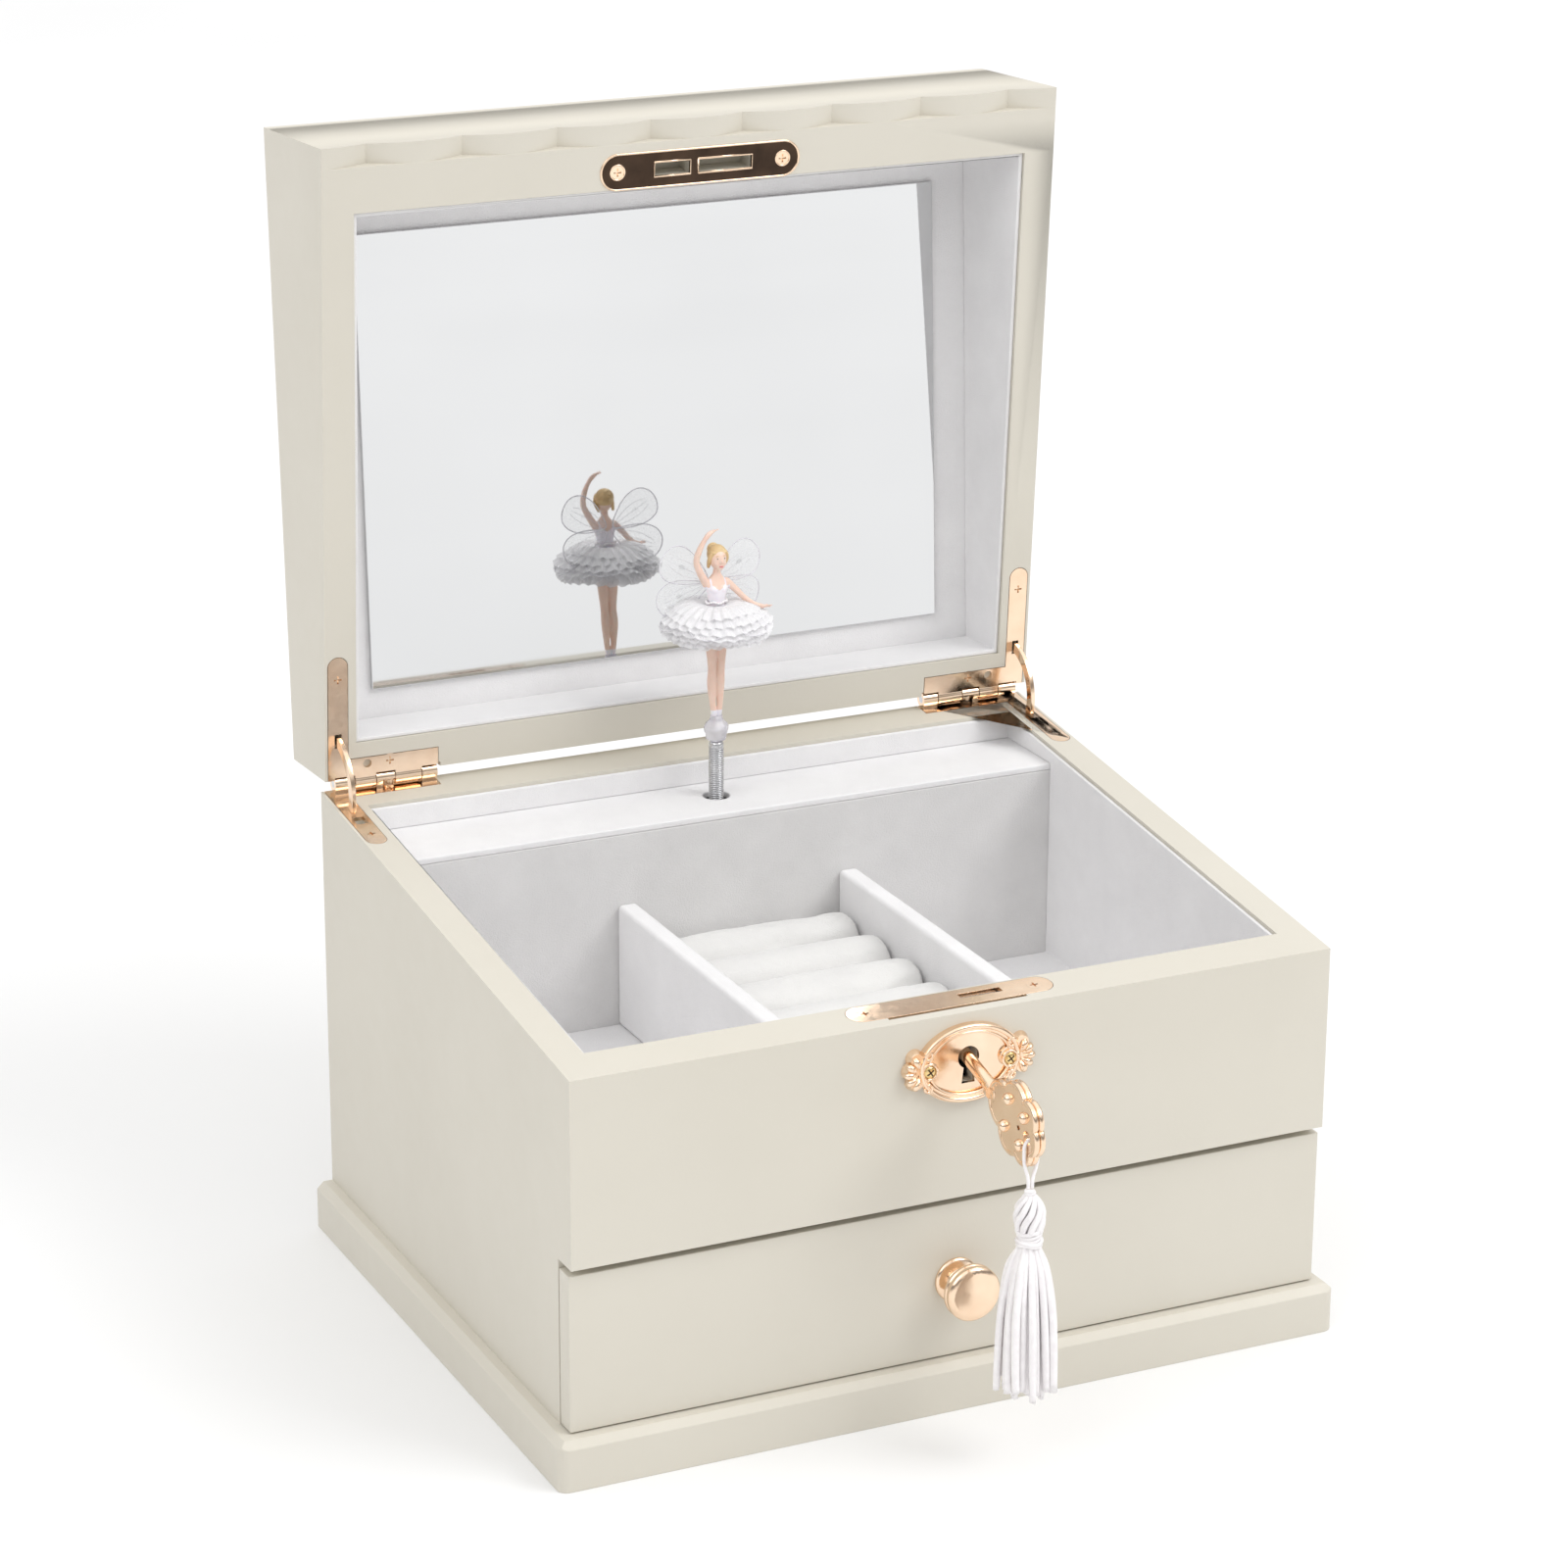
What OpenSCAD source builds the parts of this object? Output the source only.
// Wooden ballerina jewellery box: lidded tray with a musical dancer, a lock with its key, and a drawer.
// Origin: centre of the case on the surface it stands on. +X right, -Y towards the user, +Z up.

/* [Case] */
// Width of the case
case_w = 230; // [220:1:240]
// Depth of the case, front panel to back panel
case_d = 186; // [183:1:192]
// Thickness of the two side boards
side_t = 9.6; // [9.4:0.1:9.8]
// Thickness of the front and back boards
wall_t = 13; // [12.8:0.1:13.4]
// Height of the rim at the front
rim_front = 117; // [116.5:0.5:118]
// Height of the rim at the back
rim_back = 137.6; // [137.5:0.1:138]

/* [Plinth] */
// Height of the plinth board
plinth_h = 14.5; // [12:0.5:14.5]
// How far the plinth stands out at each side
plinth_side = 5; // [2:0.5:8]
// How far the plinth stands out at the front
plinth_front = 3; // [1:0.5:6]

/* [Drawer] */
// Height of the gap line between drawer front and upper panel
drawer_gap_z = 60.5; // [59:0.5:60.5]
// Width of that gap
drawer_gap = 2.5; // [2:0.1:2.5]
// Thickness of the drawer front
drawer_front_t = 6.5; // [6:0.1:6.6]
// How far the drawer front lies behind the upper panel's face
drawer_recess = 2; // [1.9:0.1:2.1]
// Thickness of the drawer's other boards
drawer_t = 6; // [4:0.5:7]
// Radius of the knob's disc
knob_r = 8; // [7:0.1:9]

/* [Tray] */
// Thickness of the velvet lining on its card
lining_t = 1.2; // [0.8:0.1:1.3]
// Top of the tray's lined floor
tray_z = 67; // [67:0.5:68]
// Thickness of a divider
divider_t = 6; // [4:0.5:7]
// Distance of each divider from the middle
divider_x = 36; // [34:0.5:38]
// Top of the dividers
divider_top = 104.7; // [100:0.1:106]
// Radius of a ring roll
roll_r = 10; // [9:0.1:10.2]
// Number of ring rolls
roll_count = 6; // [4:1:6]

/* [Lid] */
// Angle the lid opens to
lid_open = 92.8; // [92:0.1:93]
// Height of the closed lid's flat top
lid_top_z = 165; // [164.5:0.5:168]
// Depth of the lid
lid_d = 187; // [186:0.5:187.5]
// Width of the lid's front rail
lid_front_t = 19; // [18.8:0.1:19.4]
// Width of the lid's back rail
lid_back_t = 10.7; // [10.5:0.1:11]
// Width of the mirror
mirror_w = 186; // [180:1:188]
// Height of the mirror
mirror_d = 135; // [130:1:136]
// Number of carved notches along the lid's front edge
notch_count = 8; // [6:1:9]

/* [Dancer] */
// Radius of the tutu
tutu_r = 18.5; // [15:0.1:18.5]
// Distance of the dancer's axis in front of the case's back face
dancer_back = 25.5; // [25:0.1:26]

/* [Hidden] */
$fn = 48;
big = 400;

paint = "ivory";
velvet = "ghostwhite";
gold = "burlywood";
steel = "silver";
brass = "goldenrod";

// Case frame
front_y = -case_d / 2;
back_y = case_d / 2;
half_w = case_w / 2;
inner_x = half_w - side_t;
slope = atan((rim_back - rim_front) / case_d);
overlay_y = front_y + drawer_recess + drawer_front_t + 0.5;
upper_z = drawer_gap_z + drawer_gap;
floor_t = 3;

// Music compartment
shelf_z = 128.1;
shelf_y = front_y + 144.8;
shelf_t = 2;
compartment_wall = 3;
dancer_y = back_y - dancer_back;
shelf_hole_r = 4;

// Lid and hinges
lid_gap = 0.5;
lid_back_y = back_y - 3.2;
lid_front_y = lid_back_y - lid_d;
lid_top_t = 5.5;
surround_z = 156.8;
mirror_t = 1.5;
mirror_y = 1.6;
hinge_y = back_y - 1.7;
hinge_z = 140.2;
barrel_r = 2.5;
pin_r = 1.2;
knuckle_x = [80, 85, 93.3, 99.2, 105.8, 112];
knuckle_gap = 0.15;
leaf_t = 1.2;
leaf_x = 108;
leaf_w = 6;
leaf_len = 38;
arm_x = 111;
arm_t = 1.4;
arm_r = [12.6, 15.6];
arm_end = 77.3;
arm_slot = [3.4, 4.6];
arm_slot_s = 22;
screw_r = 2.3;
screw_len = 7;
hinge_screw_side_s = 31.2;
hinge_screw_back = [95, 4.1];

// Lock and key
lock_y = front_y + 9;
lock_plate_w = 62;
lock_plate_d = 8.4;
lock_plate_y = front_y + 8.3;
lock_screw_x = 25.7;
bolt_x = [3.5, 15.5];
bolt_t = 1.6;
key_x = 1;
keyhole_z = 104.4;
key_droop = 14;
shank_r = 1.9;
keyhole_r = 3.2;
bow_start = 17;
loop_out = 38.5;
strike_s = 174.1;
strike_h = 10.3;

// Tassel, hanging below the key's eye on one cord, given as points along its middle
tassel_x = key_x;
tassel_y = -130.4;
tassel_cord_r = 0.5;
tassel_route = [
  [1.6, -130.4, 80.6], [1.6, -130.4, 82.5], [1.9, -130.4, 84.2], [2.5, -130.4, 86], [2.9, -130.4, 87.7],
  [3.05, -130.4, 89.4], [3.05, -130.4, 91], [3.05, -130.4, 92.4], [2.8, -130.4, 93.4], [2.1, -130.4, 94.2],
  [1, -130.4, 94.5],
  [-0.1, -130.4, 94.2], [-0.8, -130.4, 93.4], [-1.05, -130.4, 92.4], [-1.05, -130.4, 91],
  [-1.05, -130.4, 89.4], [-0.9, -130.4, 87.7], [-0.5, -130.4, 86], [0.1, -130.4, 84.2], [0.4, -130.4, 82.5],
  [0.4, -130.4, 80.6]];
head_top = 80.6;
head_bottom = 64;
skirt_bottom = 20;

// Musical movement: arbor of the cylinder, barrel, governor and spindle
arbor_z = 100;
arbor_r = 1.2;
barrel_x = -46;
barrel_wheel_r = 13;
barrel_teeth = 32;
drive_teeth = 8;
drive_r = 3.25;
wheel_r = 8;
wheel_teeth = 24;
pinion_teeth = 8;
pinion_r = wheel_r * pinion_teeth / wheel_teeth;
governor_z = arbor_z - wheel_r - pinion_r;
spindle_teeth = 16;
spindle_pinion_r = 3.25;
spindle_wheel_r = spindle_pinion_r * 2;
bearing_play = 0.05;
bed_y = back_y - wall_t;
bed_t = 2.5;
drum_x = [-28, -8];
notes = 18;
note_pitch = 1.04;
note_gap = [0.5, 0.85];
drum_r = 6.5;
pin_rise = 0.5;
first_note_turn = 35;
note_turn = 137.5;
bed_low = 84;
comb_t = [0.4, 0.6];
comb_base = 87;

// Dancer
spring_r = 2.35;
spring_top = 145.6;
spring_bottom = 124;
socket_top = 151;
waist_z = 187;

// ---------- placing helpers ----------

// Local frame on the case's rim: origin at the back edge, +Y towards the back, +Z out of the case
module on_case_rim() {
  translate([0, back_y, rim_back]) rotate([slope, 0, 0]) children();
}

// Local frame on the closed lid's rim: origin at its back edge, +Z into the lid
module on_lid_rim() {
  back_rim = rim_back - (back_y - lid_back_y) * tan(slope) + lid_gap / cos(slope);
  translate([0, lid_back_y, back_rim]) rotate([slope, 0, 0]) children();
}

// Turns the closed lid's pieces about the hinge to the open position
module opened() {
  translate([0, hinge_y, hinge_z]) rotate([-lid_open, 0, 0]) translate([0, -hinge_y, -hinge_z]) children();
}

module above_case_rim() {
  on_case_rim() translate([-big / 2, -big, 0]) cube([big, 2 * big, big]);
}

module below_lid_rim() {
  on_lid_rim() translate([-big / 2, -big, -big]) cube([big, 2 * big, big]);
}

// Box between two corners
module span(a, b) {
  translate(a) cube(b - a);
}

// Rounded bar between two ends along X, in the XY plane
module stadium(length, width) {
  square([length - width, width], center = true);
  for (side = [-1, 1]) translate([side * (length - width) / 2, 0]) circle(d = width);
}

module both_sides() {
  for (side = [0, 1]) mirror([side, 0, 0]) children();
}

// Slice of a ring about the hinge line, from angle a to angle b above the -Y direction
module hinge_arc(r_in, r_out, width, a, b) {
  translate([0, hinge_y, hinge_z]) rotate([90, 0, 0]) rotate([0, 90, 0])
    rotate([0, 0, 180 - b]) rotate_extrude(angle = b - a, $fn = 96)
      translate([r_in, -width / 2]) square([r_out - r_in, width]);
}

// ---------- hinges ----------

module leaf_outline(grow = 0) {
  end_r = leaf_w / 2;
  translate([leaf_x - grow, end_r - leaf_len]) square([leaf_w + 2 * grow, leaf_len - end_r]);
  translate([leaf_x + end_r, end_r - leaf_len]) circle(r = end_r + grow);
  translate([knuckle_x[0] - grow, -leaf_w - grow])
    square([leaf_x + leaf_w / 2 - knuckle_x[0] + grow, leaf_w + grow]);
}

module screw_places() {
  translate([leaf_x + leaf_w / 2, -hinge_screw_side_s, 0]) children();
  translate([hinge_screw_back[0], -hinge_screw_back[1], 0]) children();
}

// Countersunk screw with a cross recess, head flush with z = 0, pointing down
module wood_screw(length = screw_len) {
  head_t = 1.1;
  core_r = 1;
  difference() {
    union() {
      translate([0, 0, -head_t]) cylinder(h = head_t, r1 = core_r, r2 = screw_r - 0.1);
      translate([0, 0, -length + 1]) cylinder(h = length - 1, r = core_r);
      translate([0, 0, -length]) cylinder(h = 1, r1 = 0.3, r2 = core_r);
    }
    for (turn = [0, 90]) rotate([0, 0, turn]) translate([-1.2, -0.25, -0.6]) cube([2.4, 0.5, 1]);
  }
}

// The space a screw takes in a plate and in the wood under it
module screw_space(length = screw_len) {
  translate([0, 0, -1.1]) cylinder(h = 1.1, r1 = 1, r2 = screw_r - 0.1);
  translate([0, 0, -length]) cylinder(h = length, r = 1);
  cylinder(h = 3, r = screw_r - 0.1);
}

// One knuckle, on the hinge line, between two distances from the middle
module knuckle(from, to, bore_r) {
  translate([from + knuckle_gap, hinge_y, hinge_z]) rotate([0, 90, 0])
    difference() {
      cylinder(h = to - from - 2 * knuckle_gap, r = barrel_r);
      translate([0, 0, -1]) cylinder(h = to - from + 2, r = bore_r);
    }
}

// Web that carries a knuckle on its leaf, in the closed position
module knuckle_web(from, to, low, high) {
  difference() {
    span([from + knuckle_gap, hinge_y - barrel_r + 0.6, low], [to - knuckle_gap, hinge_y - 0.2, high]);
    translate([from - 1, hinge_y, hinge_z]) rotate([0, 90, 0])
      cylinder(h = to - from + 2, r = barrel_r - 0.3);
  }
}

module case_hinge() {
  color(gold) difference() {
    union() {
      on_case_rim() translate([0, 0, -leaf_t]) linear_extrude(leaf_t) leaf_outline();
      for (i = [0, 2, 4]) {
        knuckle(knuckle_x[i], knuckle_x[i + 1], pin_r);
        knuckle_web(knuckle_x[i], knuckle_x[i + 1], rim_back - 0.8, hinge_z);
      }
    }
    on_case_rim() screw_places() screw_space();
    on_case_rim() translate([leaf_x + leaf_w / 2, -arm_slot_s, -2]) linear_extrude(4)
      square(arm_slot, center = true);
  }
}

module lid_hinge() {
  color(gold) difference() {
    union() {
      on_lid_rim() linear_extrude(leaf_t) leaf_outline();
      for (i = [1, 3]) {
        knuckle(knuckle_x[i], knuckle_x[i + 1], pin_r + bearing_play);
        knuckle_web(knuckle_x[i], knuckle_x[i + 1], rim_back + 0.4, hinge_z);
      }
    }
    on_lid_rim() mirror([0, 0, 1]) screw_places() screw_space();
    on_lid_rim() translate([102, -hinge_screw_back[1], -1]) cylinder(h = 4, r = 1.3);
    translate([arm_x, 0, 0]) hinge_arc(arm_r[0] - 0.6, arm_r[1] + 0.6, arm_t + 0.7, -30, 90);
    for (i = [0, 2, 4]) translate([knuckle_x[i], hinge_y, hinge_z]) rotate([0, 90, 0])
      cylinder(h = knuckle_x[i + 1] - knuckle_x[i], r = barrel_r + 0.9);
  }
}

module case_hinge_left() { mirror([1, 0, 0]) case_hinge(); }
module case_hinge_right() { case_hinge(); }
module lid_hinge_left() { opened() mirror([1, 0, 0]) lid_hinge(); }
module lid_hinge_right() { opened() lid_hinge(); }

module stop_arms() {
  color(gold) both_sides() difference() {
    translate([arm_x, 0, 0]) hinge_arc(arm_r[0], arm_r[1], arm_t, -30, arm_end);
    on_case_rim() translate([0, -big / 2, -big]) cube([big, big, big]);
  }
}

module hinge_pins() {
  pin_len = knuckle_x[5] - knuckle_x[0] - 2 * knuckle_gap;
  color(steel) both_sides() translate([knuckle_x[0] + knuckle_gap, hinge_y, hinge_z]) rotate([0, 90, 0])
    cylinder(h = pin_len, r = pin_r);
}

module case_hinge_screws() {
  color(steel) both_sides() on_case_rim() screw_places() wood_screw();
}

// ---------- case ----------

module plinth() {
  w = case_w + 2 * plinth_side;
  low = front_y - plinth_front;
  corner = 3;
  ease = 1.5;
  color(paint) difference() {
    linear_extrude(plinth_h) {
      translate([-w / 2 + corner, low]) square([w - 2 * corner, back_y - low]);
      translate([-w / 2, low + corner]) square([w, back_y - low - corner]);
      for (side = [-1, 1]) translate([side * (w / 2 - corner), low + corner]) circle(corner);
    }
    translate([0, low, plinth_h]) rotate([45, 0, 0]) cube([big, 2 * ease, 2 * ease], center = true);
    for (side = [-1, 1]) translate([side * w / 2, 0, plinth_h]) rotate([0, 45, 0])
      cube([2 * ease, big, 2 * ease], center = true);
  }
}

// Side board: stepped at the front for the overlay drawer front, sloped along the rim
module side_board() {
  hinge_cut = 0.2;
  color(paint) difference() {
    union() {
      span([inner_x, overlay_y, plinth_h], [half_w, back_y, big]);
      span([inner_x, front_y + wall_t, upper_z], [half_w, back_y, big]);
    }
    span([inner_x - 1, front_y - 1, upper_z], [half_w + 1, front_y + wall_t, big]);
    above_case_rim();
    on_case_rim() translate([0, 0, -leaf_t]) linear_extrude(5) leaf_outline(hinge_cut);
    on_case_rim() screw_places() screw_space();
    on_case_rim() translate([leaf_x + leaf_w / 2, -arm_slot_s, -4]) linear_extrude(6)
      square(arm_slot, center = true);
  }
}
module side_left() { mirror([1, 0, 0]) side_board(); }
module side_right() { side_board(); }

module back_panel() {
  color(paint) difference() {
    span([-inner_x, back_y - wall_t, plinth_h], [inner_x, back_y, big]);
    above_case_rim();
    both_sides() on_case_rim() {
      translate([0, 0, -leaf_t]) linear_extrude(5) leaf_outline(0.2);
      screw_places() screw_space();
    }
    translate([barrel_x, back_y + 1, arbor_z]) rotate([90, 0, 0]) cylinder(h = wall_t + 2, r = 4);
  }
}

// Upper front panel with the lock's mortise, its screw holes and the keyhole
module front_panel() {
  color(paint) difference() {
    span([-half_w, front_y, upper_z], [half_w, front_y + wall_t, big]);
    above_case_rim();
    lock_space();
    lock_plate_solid(0.15, 4);
    for (side = [-1, 1]) at_lock_screw(side) screw_space(10);
    keyhole(front_y - 1, front_y + 4);
    for (side = [-1, 1]) at_escutcheon_screw(side) rotate([90, 0, 0]) translate([0, 0, -3])
      cylinder(h = 6, r = 0.8);
  }
}

module tray_floor() {
  color(paint) span([-inner_x, front_y + wall_t, upper_z], [inner_x, back_y - wall_t, upper_z + floor_t]);
}

// Velvet linings of the tray: floor, front, and both side walls, with the strip above the shelf
module tray_lining() {
  low = tray_z - 1;
  inner_front = front_y + wall_t;
  inner_back = back_y - wall_t;
  drop = 1;
  color(velvet) {
    span([-inner_x, inner_front, low], [inner_x, shelf_y, tray_z]);
    difference() {
      union() {
        for (side = [0, 1]) mirror([side, 0, 0]) {
          span([inner_x - lining_t, inner_front + lining_t, tray_z], [inner_x, shelf_y, big]);
          span([inner_x - lining_t, shelf_y, shelf_z], [inner_x, inner_back - lining_t, big]);
        }
        span([-inner_x, inner_front, tray_z], [inner_x, inner_front + lining_t, big]);
        span([-inner_x, inner_back - lining_t, shelf_z], [inner_x, inner_back, big]);
      }
      translate([0, 0, -drop]) above_case_rim();
    }
  }
}

module movement_cover_front() {
  color(velvet)
    span([-inner_x, shelf_y, tray_z - 1], [inner_x, shelf_y + compartment_wall, shelf_z - shelf_t]);
}

module movement_cover_top() {
  color(velvet) difference() {
    span([-inner_x, shelf_y, shelf_z - shelf_t], [inner_x, back_y - wall_t, shelf_z]);
    translate([0, dancer_y, shelf_z - 5]) cylinder(h = 10, r = shelf_hole_r);
  }
}

module divider() {
  color(velvet) span([divider_x - divider_t / 2, front_y + wall_t + lining_t, tray_z],
                     [divider_x + divider_t / 2, shelf_y, divider_top]);
}
module divider_left() { mirror([1, 0, 0]) divider(); }
module divider_right() { divider(); }

roll_gap = 0.2;
roll_half = divider_x - divider_t / 2 - roll_gap;
roll_pitch = 2 * roll_r + 1;
roll_z = tray_z + 8.5 + roll_r;

module ring_roll_base() {
  color(velvet) span([-roll_half, front_y + wall_t + lining_t + roll_gap, tray_z],
                     [roll_half, shelf_y - roll_gap, roll_z - roll_r]);
}

module ring_rolls() {
  color("white") for (i = [0 : roll_count - 1])
    translate([-roll_half, shelf_y - 1 - roll_r - i * roll_pitch, roll_z]) rotate([0, 90, 0])
      cylinder(h = 2 * roll_half, r = roll_r);
}

// ---------- lock ----------

lock_low = 93;
lock_y0 = front_y + 3;
lock_y1 = front_y + 11.5;
lock_x = 21;
lock_wall = 1;

module lock_space() {
  span([-lock_x, lock_y0, lock_low], [lock_x, lock_y1, big]);
}

// Round hole with a flared foot below it
module keyhole(from_y, to_y) {
  foot_w = 3.4;
  foot_h = 7.4;
  translate([key_x, to_y, keyhole_z]) rotate([90, 0, 0]) linear_extrude(to_y - from_y) {
    circle(keyhole_r);
    polygon([[-foot_w / 3, 0], [foot_w / 3, 0], [foot_w / 2 + 0.3, -foot_h], [-foot_w / 2 - 0.3, -foot_h]]);
  }
}

// Local frame in the middle of the lock plate, on the case's rim
module at_lock_plate() {
  on_case_rim() translate([0, (lock_plate_y - back_y) / cos(slope), 0]) children();
}

module at_lock_screw(side) {
  at_lock_plate() translate([side * lock_screw_x, 0, 0]) children();
}

module lock_plate_solid(grow, up) {
  at_lock_plate() translate([0, 0, -leaf_t])
    linear_extrude(leaf_t + up) stadium(lock_plate_w + 2 * grow, lock_plate_d + 2 * grow);
}

// Way that the bolt takes up through the lock case and the plate
module bolt_window() {
  play = 0.4;
  span([bolt_x[0] - play, lock_y - bolt_t / 2 - play, lock_low + lock_wall],
       [bolt_x[1] + play, lock_y + bolt_t / 2 + play, big]);
}

module lock_plate() {
  color(gold) difference() {
    lock_plate_solid(0, 0);
    bolt_window();
    for (side = [-1, 1]) at_lock_screw(side) screw_space();
  }
}

// Thin pressed box behind the plate, open where the key goes in and the bolt comes out
module lock_case() {
  color(steel) difference() {
    intersection() {
      lock_space();
      on_case_rim() translate([-big / 2, -big, -big]) cube([big, 2 * big, big - leaf_t]);
    }
    difference() {
      span([lock_wall - lock_x, lock_y0 + lock_wall, lock_low + lock_wall],
           [lock_x - lock_wall, lock_y1 - lock_wall, big]);
      on_case_rim() translate([-big / 2, -big, -leaf_t - lock_wall]) cube([big, 2 * big, big]);
    }
    keyhole(lock_y0 - 1, lock_y0 + 2);
    bolt_window();
  }
}

bolt_top = rim_front + (lock_y - front_y) * tan(slope) - 1.4;
bolt_lift = 4;
bit_depth = [4.6, 7];
bit_t = 1.6;
bit_len = 5.6;

// Bolt: a tongue under the plate's slot on a foot with a ledge that the key's bit lifts
module lock_bolt() {
  foot_z = [97, 106];
  axis_z = keyhole_z + bit_depth[1] * tan(key_droop);
  ledge_z = axis_z + bit_t / 2 + 0.3 - bolt_lift;
  color(steel) {
    span([bolt_x[0], lock_y - bolt_t / 2, foot_z[1]], [bolt_x[1], lock_y + bolt_t / 2, bolt_top]);
    span([-4, lock_y - bolt_t / 2, foot_z[0]], [bolt_x[1], lock_y + bolt_t / 2, foot_z[1]]);
    span([key_x + 3.2, front_y + bit_depth[0] + 0.3, ledge_z], [key_x + 8, lock_y, ledge_z + 1.5]);
  }
}

module at_escutcheon_screw(side) {
  translate([key_x + side * 12.2, front_y, keyhole_z - 2]) children();
}

function ellipse_points(a, b, n = 64) =
  [for (i = [0 : n - 1]) [a * cos(360 * i / n), b * sin(360 * i / n)]];

// Oval plate with a moulded rim and a three-lobed shell at each end
module escutcheon() {
  plate_t = 1.2;
  oval = [15.5, 11.2];
  center_z = keyhole_z - 1.4;
  color(gold) difference() {
    union() {
      translate([key_x, front_y, center_z]) rotate([90, 0, 0]) {
        linear_extrude(plate_t) polygon(ellipse_points(oval[0], oval[1]));
        linear_extrude(plate_t + 0.9) difference() {
          polygon(ellipse_points(oval[0], oval[1]));
          polygon(ellipse_points(oval[0] - 2.2, oval[1] - 2.2));
        }
        for (side = [-1, 1], lobe = [-1, 0, 1]) translate([side * (17.2 - 1.2 * abs(lobe)), lobe * 3.4, 0])
          cylinder(h = 2.2, r1 = 2.6, r2 = 1.8);
        for (side = [-1, 1]) translate([side * 12.2, 0, 0]) cylinder(h = plate_t + 0.8, r = 3);
      }
    }
    keyhole(front_y - 5, front_y + 1);
    for (side = [-1, 1]) at_escutcheon_screw(side) rotate([90, 0, 0]) {
      translate([0, 0, -1]) cylinder(h = 6, r = 0.8);
      translate([0, 0, 1.3]) cylinder(h = 3, r = 1.7);
    }
  }
}

module lock_screws() {
  color(steel) {
    for (side = [-1, 1]) at_lock_screw(side) wood_screw(9);
    for (side = [-1, 1]) at_escutcheon_screw(side) rotate([90, 0, 0]) {
      translate([0, 0, -2.8]) cylinder(h = 4.1, r = 0.8);
      translate([0, 0, 1.3]) cylinder(h = 0.9, r1 = 1.7, r2 = 1.2);
    }
  }
}

// Local frame of the key: origin in the keyhole, +X out along the drooping shank, +Y up, +Z to the right
module on_key() {
  translate([key_x, front_y, keyhole_z]) rotate([key_droop, 0, 0]) rotate([90, 0, 0]) rotate([0, -90, 0])
    children();
}

// Key: round shank with one bit, and a flat lobed bow with an eye for the tassel
module key() {
  bow_t = 2.8;
  color(gold) {
    on_key() difference() {
      union() {
        translate([-bit_depth[1], 0, 0]) rotate([0, 90, 0])
          cylinder(h = bow_start + bit_depth[1] + 2, r = shank_r);
        span([-bit_depth[1], -bit_len, -bit_t / 2], [-bit_depth[0], 0, bit_t / 2]);
        translate([bow_start - 1.6, 0, 0]) rotate([0, 90, 0]) cylinder(h = 1.6, r = shank_r + 0.8);
        translate([0, 0, -bow_t / 2]) linear_extrude(bow_t) {
          translate([bow_start + 6, 0]) circle(6.2);
          translate([bow_start + 12.5, 4.6]) circle(5.6);
          translate([bow_start + 12.5, -4.6]) circle(5.6);
          translate([bow_start + 19.5, 4.4]) circle(4.6);
          translate([bow_start + 19.5, -4.4]) circle(4.6);
          translate([bow_start + 21.8, 0]) circle(4.4);
        }
        for (face = [-1, 1], along = [9.5, 18.5], across = [-4.4, 4.4])
          translate([bow_start + along, across, face * bow_t / 2]) sphere(r = 1.7, $fn = 24);
      }
      translate([loop_out, 0, -bow_t]) cylinder(h = 2 * bow_t, r = 1.9);
    }
  }
}

// ---------- tassel ----------

function unit(v) = v / norm(v);

// Direction of the route at point i
function heading(route, i) = unit(route[min(i + 1, len(route) - 1)] - route[max(i - 1, 0)]);

// Tube along a route that lies in a plane of constant Y
module swept_tube(route, r, sides = 8) {
  n = len(route);
  rings = [for (i = [0 : n - 1], k = [0 : sides - 1])
    let (across = cross(heading(route, i), [0, 1, 0]), a = 360 * k / sides)
      route[i] + r * cos(a) * across + r * sin(a) * [0, 1, 0]];
  walls = [for (i = [0 : n - 2], k = [0 : sides - 1])
    let (next = (k + 1) % sides)
      [i * sides + k, (i + 1) * sides + k, (i + 1) * sides + next, i * sides + next]];
  start_cap = [for (k = [0 : sides - 1]) k];
  end_cap = [for (k = [sides - 1 : -1 : 0]) (n - 1) * sides + k];
  polyhedron(rings, concat(walls, [start_cap], [end_cap]), convexity = 4);
}

// Cord from the tassel's head up beside the bow, through its eye and down the other side
module tassel_loop() {
  color("white") swept_tube(tassel_route, tassel_cord_r);
}

// Head: small knot, round top and bound neck
module tassel_head() {
  color("white") translate([tassel_x, tassel_y, 0]) rotate_extrude()
    polygon([[0, head_bottom], [3.6, head_bottom], [3.6, head_bottom + 5], [4.3, head_bottom + 7.5],
             [4.1, head_top - 5], [1.6, head_top - 3], [1.8, head_top - 1], [1.3, head_top],
             [0, head_top]]);
}

module tassel_skirt() {
  color("white") translate([tassel_x, tassel_y, 0]) rotate_extrude()
    polygon([[0, head_bottom], [3.6, head_bottom], [8.2, head_bottom - 6], [10.8, head_bottom - 20],
             [11.4, skirt_bottom], [0, skirt_bottom]]);
}

// ---------- lid ----------

module lid_box(a, b) {
  difference() {
    span(a, b);
    below_lid_rim();
  }
}

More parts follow.
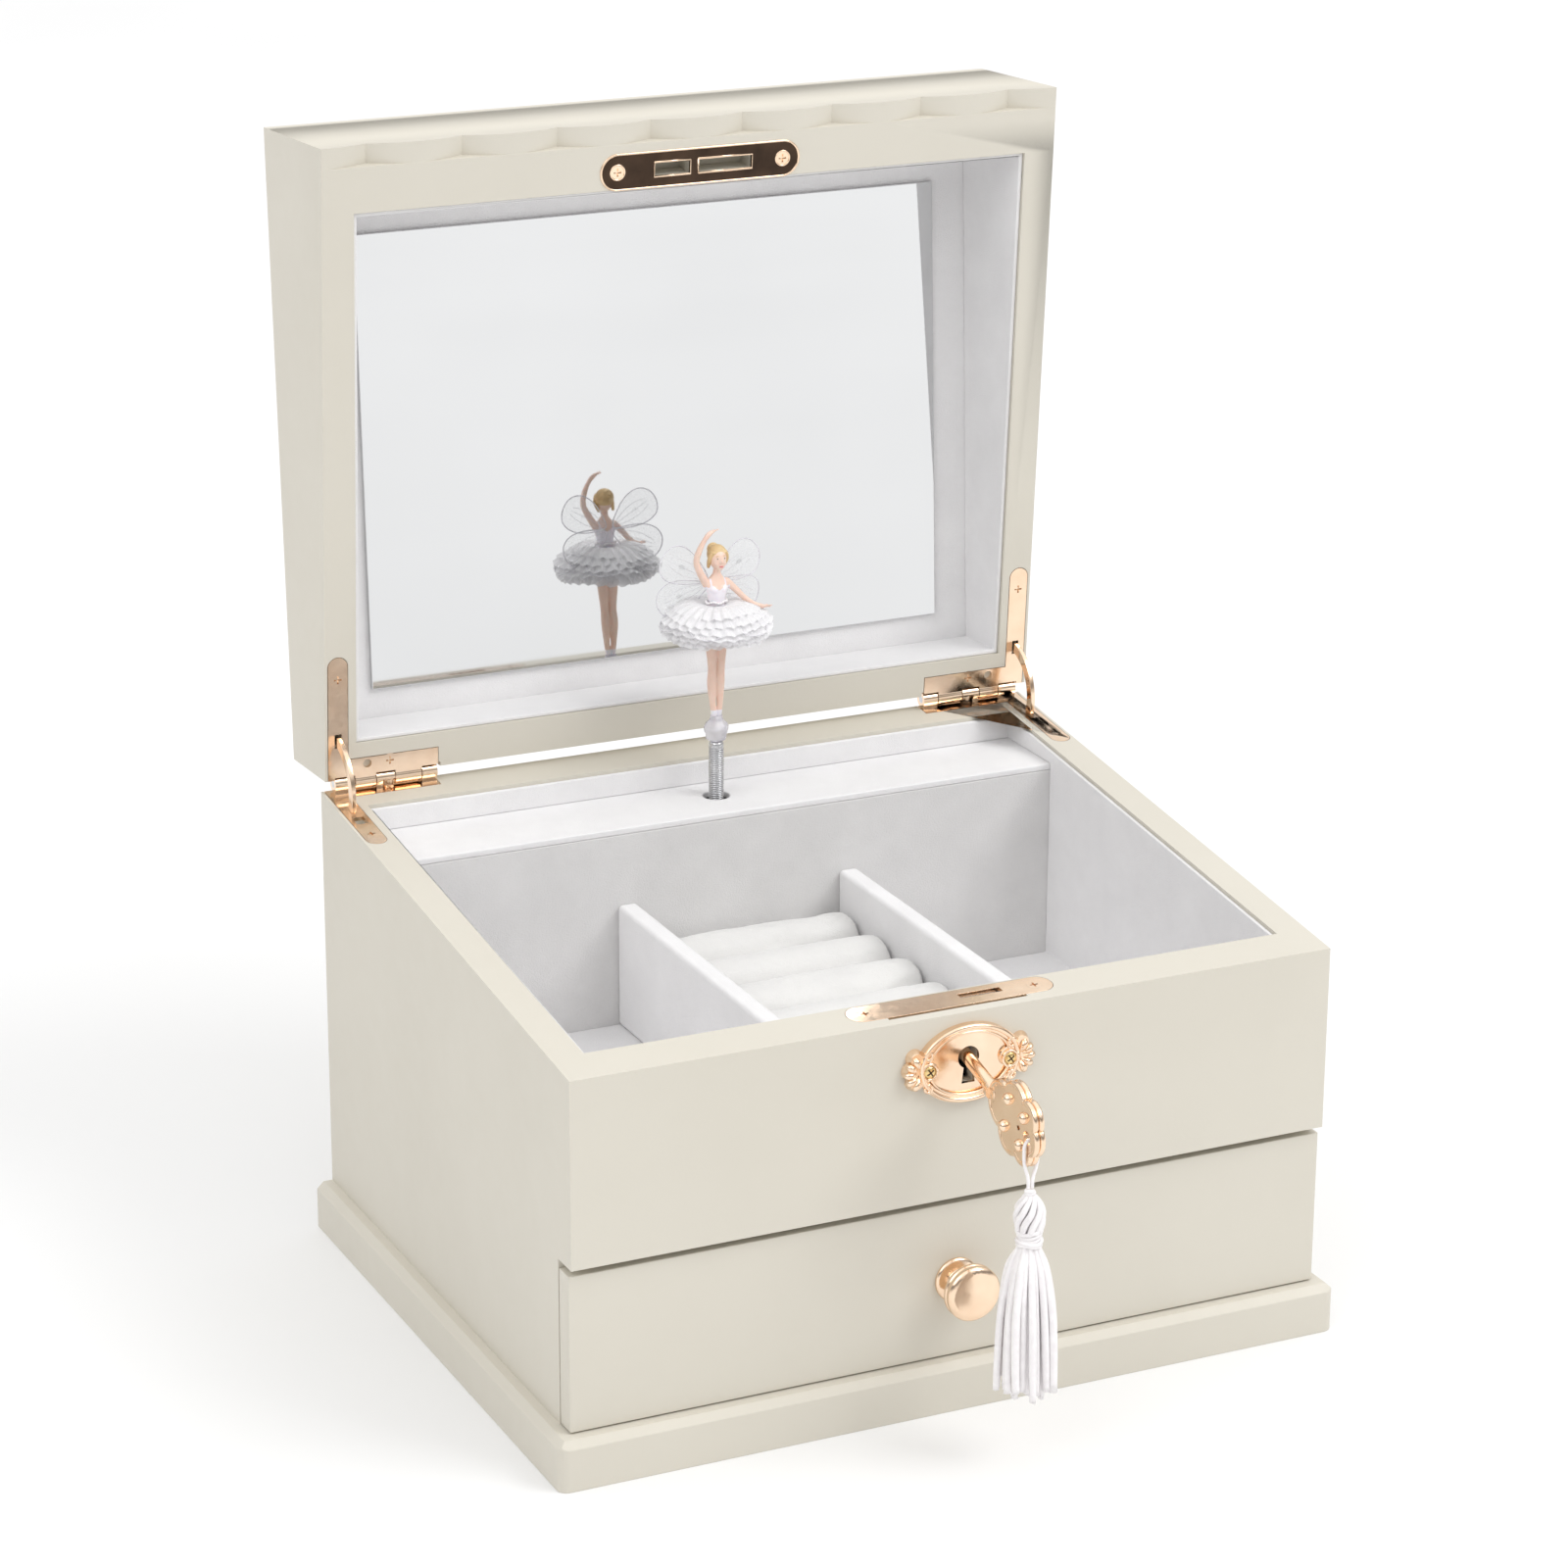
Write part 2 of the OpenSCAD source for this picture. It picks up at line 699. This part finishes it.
// Hinge recesses, screw holes, barrel notch and arm slots in the lid's boards
module lid_hinge_cuts() {
  both_sides() {
    on_lid_rim() translate([0, 0, -1]) linear_extrude(leaf_t + 1) leaf_outline(0.2);
    on_lid_rim() mirror([0, 0, 1]) screw_places() screw_space();
    translate([knuckle_x[0] - 0.8, hinge_y, hinge_z]) rotate([0, 90, 0])
      cylinder(h = knuckle_x[5] - knuckle_x[0] + 1.6, r = barrel_r + 1.3);
    translate([arm_x, 0, 0]) hinge_arc(arm_r[0] - 0.5, arm_r[1] + 0.5, arm_t + 0.9, -30, arm_end + 1.5);
  }
}

lid_inner_x = inner_x;
lid_inner_front = lid_front_y + lid_front_t;
lid_inner_back = lid_back_y - lid_back_t;
lid_roof_z = lid_top_z - lid_top_t;

// Front rail: convex lobes meet at sharp notches along its lower front edge
module lid_front_rail() {
  pitch = case_w / notch_count;
  notch_h = 3.8;
  lobe_r = (pitch * pitch / 4 + notch_h * notch_h) / (2 * notch_h);
  ledge = 6;
  front_s = lid_d / cos(slope);
  color(paint) opened() difference() {
    lid_box([-half_w, lid_front_y, rim_front - 10], [half_w, lid_inner_front, lid_roof_z]);
    on_lid_rim() translate([0, ledge - front_s, 0]) rotate([90, 0, 0]) linear_extrude(2 * ledge)
      difference() {
        translate([-half_w - 1, -notch_h]) square([case_w + 2, 2 * notch_h]);
        for (i = [0 : notch_count]) translate([i * pitch - half_w, lobe_r]) circle(lobe_r, $fn = 120);
      }
    strike_cuts();
  }
}

module lid_back_rail() {
  color(paint) opened() difference() {
    lid_box([-lid_inner_x, lid_inner_back, rim_front], [lid_inner_x, lid_back_y, lid_roof_z]);
    lid_hinge_cuts();
  }
}

module lid_side() {
  difference() {
    lid_box([lid_inner_x, lid_inner_front, rim_front - 10], [half_w, lid_back_y, lid_roof_z]);
    lid_hinge_cuts();
  }
}
module lid_side_left() { color(paint) opened() mirror([1, 0, 0]) lid_side(); }
module lid_side_right() { color(paint) opened() lid_side(); }

module lid_top() {
  color(paint) opened() span([-half_w, lid_front_y, lid_roof_z], [half_w, lid_back_y, lid_top_z]);
}

module lid_lining() {
  drop = 1;
  color(velvet) opened() difference() {
    span([-lid_inner_x, lid_inner_front, rim_front], [lid_inner_x, lid_inner_back, surround_z]);
    span([-lid_inner_x + lining_t, lid_inner_front + lining_t, 0],
         [lid_inner_x - lining_t, lid_inner_back - lining_t, big]);
    translate([0, 0, drop]) below_lid_rim();
  }
}

module mirror_surround() {
  color(velvet) opened()
    span([-lid_inner_x, lid_inner_front, surround_z], [lid_inner_x, lid_inner_back, lid_roof_z]);
}

module mirror_glass() {
  color("lightsteelblue") opened()
    span([-mirror_w / 2, mirror_y - mirror_d / 2, surround_z - mirror_t],
         [mirror_w / 2, mirror_y + mirror_d / 2, surround_z]);
}

strike_windows = [[-14.5, -3.2], [-0.8, 16.2]];

module at_strike() {
  on_lid_rim() translate([0, -strike_s, 0]) children();
}

module strike_cuts() {
  at_strike() {
    translate([0, 0, -1]) linear_extrude(leaf_t + 1) stadium(lock_plate_w + 0.4, strike_h + 0.4);
    for (w = strike_windows) span([w[0], -2.1, 0], [w[1], 2.1, 8]);
    for (side = [-1, 1]) translate([side * 25.9, 0, 0]) mirror([0, 0, 1]) screw_space(9);
  }
}

module strike_plate() {
  color(gold) opened() at_strike() difference() {
    linear_extrude(leaf_t) stadium(lock_plate_w, strike_h);
    for (w = strike_windows) span([w[0], -2.1, -1], [w[1], 2.1, 3]);
    for (side = [-1, 1]) translate([side * 25.9, 0, 0]) mirror([0, 0, 1]) screw_space(9);
  }
}

module lid_screws() {
  color(steel) opened() {
    both_sides() on_lid_rim() mirror([0, 0, 1]) screw_places() wood_screw();
    for (side = [-1, 1]) at_strike() translate([side * 25.9, 0, 0]) mirror([0, 0, 1]) wood_screw(8);
  }
}

// ---------- drawer ----------

drawer_low = plinth_h + 0.3;
drawer_x = inner_x - 1;
drawer_box_y = front_y + drawer_recess + drawer_front_t;
drawer_back_y = back_y - wall_t - 3;
drawer_top = upper_z - 4;

module drawer_front() {
  knob_z = (drawer_low + drawer_gap_z) / 2;
  color(paint) difference() {
    span([-half_w, front_y + drawer_recess, plinth_h + 0.5], [half_w, drawer_box_y, drawer_gap_z]);
    translate([0, drawer_box_y + 1, knob_z]) rotate([90, 0, 0]) cylinder(h = drawer_front_t + 2, r = 2);
  }
}

module drawer_sides() {
  color(paint) both_sides()
    span([drawer_x - drawer_t, drawer_box_y, drawer_low], [drawer_x, drawer_back_y, drawer_top]);
}

module drawer_back() {
  color(paint) span([-drawer_x + drawer_t, drawer_back_y - drawer_t, drawer_low],
                    [drawer_x - drawer_t, drawer_back_y, drawer_top]);
}

drawer_floor = drawer_low + 4;

module drawer_bottom() {
  color(paint) span([-drawer_x + drawer_t, drawer_box_y, drawer_low],
                    [drawer_x - drawer_t, drawer_back_y - drawer_t, drawer_floor - 1]);
}

// Velvet lining of the drawer: floor and four walls
module drawer_lining() {
  x = drawer_x - drawer_t;
  y1 = drawer_back_y - drawer_t;
  color(velvet) difference() {
    span([-x, drawer_box_y, drawer_floor - 1], [x, y1, drawer_top - 1]);
    span([-x + lining_t, drawer_box_y + lining_t, drawer_floor], [x - lining_t, y1 - lining_t, big]);
    translate([0, drawer_box_y + lining_t + 1, (drawer_low + drawer_gap_z) / 2]) rotate([90, 0, 0])
      cylinder(h = 9, r = 4);
  }
}

// Turned knob on a round rose
module drawer_knob() {
  depth = 12.5;
  knob_z = (drawer_low + drawer_gap_z) / 2;
  color(gold) translate([0, front_y + drawer_recess, knob_z]) rotate([90, 0, 0]) difference() {
    rotate_extrude() polygon([
      [0, 0], [6.5, 0], [6.5, 0.8], [5.8, 1.4], [3.6, 1.9], [3, 3.4], [3.2, 5.4], [4.6, 6.8],
      [knob_r - 0.6, 7.6], [knob_r, 8.3], [knob_r, 9], [knob_r - 0.5, 9.5], [knob_r, 10],
      [knob_r, 11], [knob_r - 0.7, 11.8], [knob_r - 2, 12.3], [0, depth]]);
    translate([0, 0, -1]) cylinder(h = 7, r = 1.9);
  }
}

module knob_screw() {
  knob_z = (drawer_low + drawer_gap_z) / 2;
  color(steel) translate([0, drawer_box_y, knob_z]) rotate([90, 0, 0]) difference() {
    union() {
      cylinder(h = drawer_front_t + 5, r = 1.9);
      translate([0, 0, -2]) cylinder(h = 2, r1 = 2.6, r2 = 3.4);
    }
    for (turn = [0, 90]) rotate([0, 0, turn]) translate([-1.6, -0.4, -2.5]) cube([3.2, 0.8, 1.2]);
  }
}

// ---------- musical movement ----------

// Flat gear outline with straight-flanked teeth
function tooth_outline(teeth, root, tip, root_share, tip_share) = [
  for (i = [0 : teeth - 1], corner = [0 : 3])
    let (half = (corner == 0 || corner == 3 ? root_share : tip_share) * 180 / teeth,
         a = 360 * i / teeth + (corner < 2 ? -half : half),
         r = (corner == 0 || corner == 3) ? root : tip)
      [r * cos(a), r * sin(a)]];

module gear(teeth, pitch_r, width, addendum = 0.55, dedendum = 0.8, turn = 0) {
  rotate([0, 0, turn]) linear_extrude(width)
    polygon(tooth_outline(teeth, pitch_r - dedendum, pitch_r + addendum, 0.5, 0.22));
}

// Ring of face teeth on the +Z side of z = 0
module face_teeth(teeth, r, width, height, share, turn = 0) {
  tooth_w = 2 * PI * r / teeth * share;
  for (i = [0 : teeth - 1]) rotate([0, 0, 360 * i / teeth + turn])
    translate([r - width / 2, -tooth_w / 2, -0.3]) cube([width, tooth_w, height + 0.3]);
}

module on_arbor(x) {
  translate([x, dancer_y, arbor_z]) rotate([0, 90, 0]) children();
}

module on_governor(x) {
  translate([x, dancer_y, governor_z]) rotate([0, 90, 0]) children();
}

drive_x = barrel_x + barrel_wheel_r;
barrel_face_y = dancer_y - drive_r - 1.35;

// Spring barrel: closed drum with face teeth towards the cylinder's drive pinion
module spring_barrel() {
  depth = 6.4;
  color(brass) translate([barrel_x, barrel_face_y, arbor_z]) rotate([-90, 0, 0]) difference() {
    union() {
      translate([0, 0, -depth]) cylinder(h = depth, r = barrel_wheel_r + 1, $fn = 96);
      face_teeth(barrel_teeth, barrel_wheel_r, 2, 1, 0.3, 180 / barrel_teeth);
    }
    translate([0, 0, -depth + 0.8]) cylinder(h = depth - 1.6, r = barrel_wheel_r - 1, $fn = 96);
    translate([0, 0, -depth - 1]) cylinder(h = depth + 3, r = 2 + bearing_play);
  }
}

// Pinned cylinder on its arbor, with the drive pinion, the spindle's pinion and the governor wheel
module music_cylinder() {
  mid_gap = (note_gap[0] + note_gap[1]) / 2;
  color(brass) {
    on_arbor(-38) cylinder(h = 62, r = arbor_r);
    on_arbor(drive_x - 1.5) gear(drive_teeth, drive_r, 3);
    on_arbor(drum_x[0]) cylinder(h = drum_x[1] - drum_x[0], r = drum_r, $fn = 64);
    on_arbor(spindle_wheel_r - 1.2) gear(drive_teeth, spindle_pinion_r, 2.4);
    on_arbor(16) gear(wheel_teeth, wheel_r, 2.2);
    for (i = [0 : notes - 1]) on_arbor(drum_x[0] + mid_gap + (i + 0.5) * note_pitch)
      rotate([0, 0, first_note_turn + i * note_turn]) translate([drum_r - 0.3, 0, 0]) rotate([0, 90, 0])
        cylinder(h = pin_rise + 0.3, r = 0.22, $fn = 13);
  }
}

module governor() {
  blade = [11, 0.6, 16];
  color(brass) {
    on_governor(13) cylinder(h = 32, r = 0.9);
    on_governor(16) gear(pinion_teeth, pinion_r, 2.2, 0.45, 0.8, 180 / pinion_teeth);
    on_governor(26 + blade[2] / 2) cube(blade, center = true);
  }
}

// Vertical spindle with a crown wheel that the cylinder's pinion turns
module spindle() {
  wheel_z = arbor_z + spindle_pinion_r + 1.35;
  color(brass) {
    translate([0, dancer_y, wheel_z]) cylinder(h = 131 - wheel_z, r = 1.5);
    translate([0, dancer_y, wheel_z]) cylinder(h = 1.4, r = spindle_wheel_r + 1);
    translate([0, dancer_y, wheel_z]) mirror([0, 0, 1])
      face_teeth(spindle_teeth, spindle_wheel_r, 1.8, 1, 0.3, 180 / spindle_teeth);
  }
}

// Cast frame on the back panel: plate, ears that carry the arbors and a bracket for the spindle
module movement_bedplate() {
  ear_t = 1.5;
  ear_x = [-30.5, 12, 21];
  ear_front = dancer_y - 4;
  color("gray") difference() {
    union() {
      span([-62, bed_y - bed_t, bed_low], [46, bed_y, 122]);
      for (x = ear_x) span([x, ear_front, arbor_z - 4], [x + ear_t, bed_y - bed_t, arbor_z + 4]);
      for (x = [12, 42]) span([x, ear_front, governor_z - 3], [x + ear_t, bed_y - bed_t, governor_z + 3]);
      span([-6, dancer_y - 6, 112], [6, bed_y - bed_t, 114.5]);
      span([drum_x[0], dancer_y + comb_t[1], bed_low], [drum_x[1], bed_y - bed_t, comb_base]);
    }
    on_arbor(-40) cylinder(h = 80, r = arbor_r + bearing_play);
    on_governor(10) cylinder(h = 60, r = 0.9 + bearing_play);
    translate([0, dancer_y, 100]) cylinder(h = 30, r = 1.5 + bearing_play);
    translate([barrel_x, back_y, arbor_z]) rotate([90, 0, 0]) cylinder(h = 40, r = 2 + bearing_play);
  }
}

// Steel comb with eighteen teeth just under the cylinder
module movement_comb() {
  color(steel) difference() {
    span([drum_x[0], dancer_y - comb_t[0], bed_low],
         [drum_x[1], dancer_y + comb_t[1], arbor_z - drum_r - pin_rise - 0.3]);
    for (i = [0 : notes])
      span([drum_x[0] + note_gap[0] + i * note_pitch, dancer_y - 1, comb_base - 0.5 + 0.12 * i],
           [drum_x[0] + note_gap[1] + i * note_pitch, dancer_y + 1, arbor_z]);
  }
}

// Winding arbor through the back panel with a flat butterfly grip outside
module winding_key() {
  color(gold) {
    translate([barrel_x, barrel_face_y - 7.2, arbor_z]) rotate([-90, 0, 0])
      cylinder(h = back_y - barrel_face_y + 7.2 + 9, r = 2);
    translate([barrel_x, back_y + 6, arbor_z]) rotate([-90, 0, 0]) {
      cylinder(h = 5, r = 3.2);
      for (side = [-1, 1]) translate([side * 7, 0, 6]) rotate([90, 0, 0])
        translate([0, 0, -0.9]) cylinder(h = 1.8, r = 5.6);
    }
  }
}

// ---------- dancer ----------

module dancer_spring() {
  color(steel) translate([0, dancer_y, spring_bottom]) difference() {
    cylinder(h = spring_top - spring_bottom, r = spring_r);
    translate([0, 0, -1]) cylinder(h = spring_top - spring_bottom - 1, r = 1.7);
  }
}

module dancer_socket() {
  color("lavender") translate([0, dancer_y, spring_top]) rotate_extrude()
    polygon([[0, 0], [3, 0], [3.7, 1.2], [3.9, 3.6], [3.3, socket_top - spring_top],
             [0, socket_top - spring_top]]);
}

module limb(a, b, ra, rb) {
  hull() {
    translate(a) sphere(r = ra, $fn = 20);
    translate(b) sphere(r = rb, $fn = 20);
  }
}

// Dancer: joined legs on pointe, bodice, neck and head, one arm raised and one out to the tutu
module dancer_figure() {
  color("peachpuff") translate([0, dancer_y, 0]) {
    translate([0, 0, socket_top]) cylinder(h = 8, r1 = 1.6, r2 = 2.4);
    translate([0, 0, socket_top + 8]) cylinder(h = 20, r1 = 2.4, r2 = 3.6);
    translate([0, 0, 179]) cylinder(h = 8, r1 = 3.6, r2 = 2.7);
    translate([0, 0, 187]) cylinder(h = 7.5, r1 = 2.7, r2 = 3.8);
    translate([0, 0, 194.4]) cylinder(h = 2.6, r1 = 3.8, r2 = 1.4);
    translate([0, 0, 196]) cylinder(h = 5, r = 1.3);
    translate([0, 0, 204.2]) sphere(r = 4);
    translate([0, 2.6, 207.6]) sphere(r = 1.9);
    limb([-3.6, 0, 195.2], [-7.6, -0.6, 203], 1.3, 1.1);
    limb([-7.6, -0.6, 203], [-1.6, -1, 212], 1.1, 0.8);
    limb([3.6, 0, 195.2], [9.2, -1.4, 190], 1.3, 1);
    limb([9.2, -1.4, 190], [15.6, -2.4, 188.2], 1, 0.7);
  }
}

module dancer_tutu() {
  color("white") translate([0, dancer_y, 0]) rotate_extrude($fn = 64)
    polygon([[3.75, 179.2], [9, 176.6], [tutu_r - 1, 178], [tutu_r, 180.5], [tutu_r - 1, 182.4], [9, 184.8],
             [3.3, waist_z - 1]]);
}

// Two pairs of petal wings that meet behind the shoulders
module dancer_wings() {
  petal_t = 0.5;
  back_gap = 4.6;
  color("lavender") translate([0, dancer_y + back_gap, 192]) rotate([90, 0, 0]) {
    linear_extrude(petal_t) {
      for (side = [-1, 1]) {
        rotate([0, 0, 90 - side * 46]) translate([10, 0]) polygon(ellipse_points(9.4, 7, 32));
        rotate([0, 0, 90 - side * 105]) translate([8.6, 0]) polygon(ellipse_points(8.6, 4.8, 32));
      }
      circle(2.2);
    }
    translate([0, 0, petal_t]) cylinder(h = back_gap - petal_t - 3.45, r = 0.6);
  }
}

plinth();
side_left();
side_right();
back_panel();
front_panel();
tray_floor();
tray_lining();
movement_cover_front();
movement_cover_top();
divider_left();
divider_right();
ring_roll_base();
ring_rolls();
lock_case();
lock_plate();
lock_screws();
escutcheon();
case_hinge_left();
case_hinge_right();
stop_arms();
hinge_pins();
case_hinge_screws();
movement_bedplate();
movement_comb();
lid_front_rail();
lid_back_rail();
lid_side_left();
lid_side_right();
lid_top();
lid_lining();
mirror_surround();
mirror_glass();
strike_plate();
lid_hinge_left();
lid_hinge_right();
lid_screws();
drawer_front();
drawer_sides();
drawer_back();
drawer_bottom();
drawer_lining();
drawer_knob();
knob_screw();
key();
lock_bolt();
tassel_loop();
tassel_head();
tassel_skirt();
winding_key();
spring_barrel();
music_cylinder();
governor();
spindle();
dancer_spring();
dancer_socket();
dancer_figure();
dancer_tutu();
dancer_wings();
